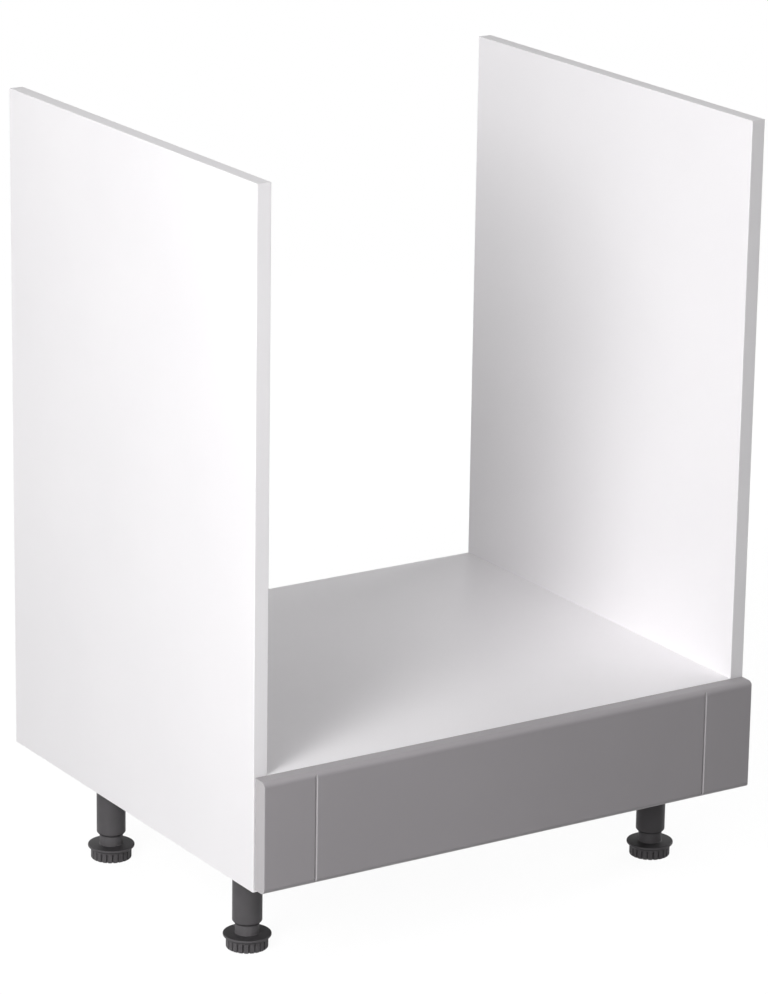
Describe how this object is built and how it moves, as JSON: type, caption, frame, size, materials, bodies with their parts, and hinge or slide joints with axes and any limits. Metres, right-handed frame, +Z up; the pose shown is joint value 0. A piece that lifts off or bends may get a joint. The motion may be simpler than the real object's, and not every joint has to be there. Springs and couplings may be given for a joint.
{
  "type": "built-under oven housing",
  "caption": "Base cabinet for a built-under oven: two tall sides, an oven deck over a shallow roller-runner drawer, and screw-adjustable legs.",
  "frame": {"origin": "on the floor, in the middle of the width and of the depth", "axes": "+Z up, -Y towards the drawer front, +X to the right seen from the front"},
  "size_m": [0.6, 0.519, 0.82],
  "materials": {
    "melamine_white": "satin",
    "edging_white": "satin",
    "front_grey": "satin",
    "hardboard_white": "satin",
    "runner_white": "satin",
    "roller_nylon": "satin",
    "zinc_steel": "satin",
    "cam_zinc": "matte",
    "beech": "matte",
    "leg_plastic": "satin"
  },
  "bodies": {
    "carcass": {"side_left": "melamine_white", "side_right": "melamine_white", "oven_deck": "melamine_white", "bottom_panel": "melamine_white", "back_rail": "melamine_white", "side_left_front_edging": "edging_white", "side_right_front_edging": "edging_white", "side_left_top_edging": "edging_white", "side_right_top_edging": "edging_white", "deck_front_edging": "edging_white", "bottom_front_edging": "edging_white", "cabinet_runner_left": "runner_white", "cabinet_runner_right": "runner_white", "cam_bolts": "zinc_steel", "cabinet_runner_screws": "zinc_steel", "cabinet_roller_axles": "zinc_steel", "leg_screws": "zinc_steel", "cam_locks": "cam_zinc", "dowels": "beech", "leg_socket_front_left": "leg_plastic", "leg_socket_front_right": "leg_plastic", "leg_socket_rear_left": "leg_plastic", "leg_socket_rear_right": "leg_plastic", "leg_tube_front_left": "leg_plastic", "leg_tube_front_right": "leg_plastic", "leg_tube_rear_left": "leg_plastic", "leg_tube_rear_right": "leg_plastic"},
    "drawer": {"drawer_front": "front_grey", "drawer_side_left": "melamine_white", "drawer_side_right": "melamine_white", "drawer_back": "melamine_white", "drawer_bottom": "hardboard_white", "drawer_runner_left": "runner_white", "drawer_runner_right": "runner_white", "drawer_runner_screws": "zinc_steel", "drawer_roller_axles": "zinc_steel", "drawer_cam_bolts": "zinc_steel", "drawer_cam_locks": "cam_zinc", "drawer_dowels": "beech", "drawer_back_screws": "zinc_steel", "drawer_bottom_screws": "zinc_steel"},
    "roller_front_left_wheel": {"roller_front_left": "roller_nylon"},
    "roller_front_right_wheel": {"roller_front_right": "roller_nylon"},
    "roller_rear_left_wheel": {"roller_rear_left": "roller_nylon"},
    "roller_rear_right_wheel": {"roller_rear_right": "roller_nylon"},
    "foot_front_left": {"leg_foot_front_left": "leg_plastic"},
    "foot_front_right": {"leg_foot_front_right": "leg_plastic"},
    "foot_rear_left": {"leg_foot_rear_left": "leg_plastic"},
    "foot_rear_right": {"leg_foot_rear_right": "leg_plastic"}
  },
  "joints": [
    {"name": "drawer_slide", "type": "slide", "parent": "carcass", "child": "drawer", "axis": [0, -1, 0], "range_m": [0, 0.34]},
    {"name": "roller_front_left_spin", "type": "hinge", "parent": "carcass", "child": "roller_front_left_wheel", "pos_m": [-0.27765, -0.2245, 0.1337], "axis": [1, 0, 0], "range_deg": [0, 1950]},
    {"name": "roller_rear_left_spin", "type": "hinge", "parent": "drawer", "child": "roller_rear_left_wheel", "pos_m": [-0.27765, 0.1955, 0.1345], "axis": [1, 0, 0], "range_deg": [0, 1775]},
    {"name": "roller_front_right_spin", "type": "hinge", "parent": "carcass", "child": "roller_front_right_wheel", "pos_m": [0.27765, -0.2245, 0.1337], "axis": [1, 0, 0], "range_deg": [0, 1950]},
    {"name": "roller_rear_right_spin", "type": "hinge", "parent": "drawer", "child": "roller_rear_right_wheel", "pos_m": [0.27765, 0.1955, 0.1345], "axis": [1, 0, 0], "range_deg": [0, 1775]},
    {"name": "foot_front_left_height", "type": "slide", "parent": "carcass", "child": "foot_front_left", "axis": [0, 0, 1], "range_m": [-0.02, 0.01]},
    {"name": "foot_front_right_height", "type": "slide", "parent": "carcass", "child": "foot_front_right", "axis": [0, 0, 1], "range_m": [-0.02, 0.01]},
    {"name": "foot_rear_left_height", "type": "slide", "parent": "carcass", "child": "foot_rear_left", "axis": [0, 0, 1], "range_m": [-0.02, 0.01]},
    {"name": "foot_rear_right_height", "type": "slide", "parent": "carcass", "child": "foot_rear_right", "axis": [0, 0, 1], "range_m": [-0.02, 0.01]}
  ],
  "couplings": [
    {"joint": "roller_front_left_spin", "follows": "drawer_slide", "rad_per_m": 100},
    {"joint": "roller_rear_left_spin", "follows": "drawer_slide", "rad_per_m": 90.909},
    {"joint": "roller_front_right_spin", "follows": "drawer_slide", "rad_per_m": 100},
    {"joint": "roller_rear_right_spin", "follows": "drawer_slide", "rad_per_m": 90.909}
  ]
}
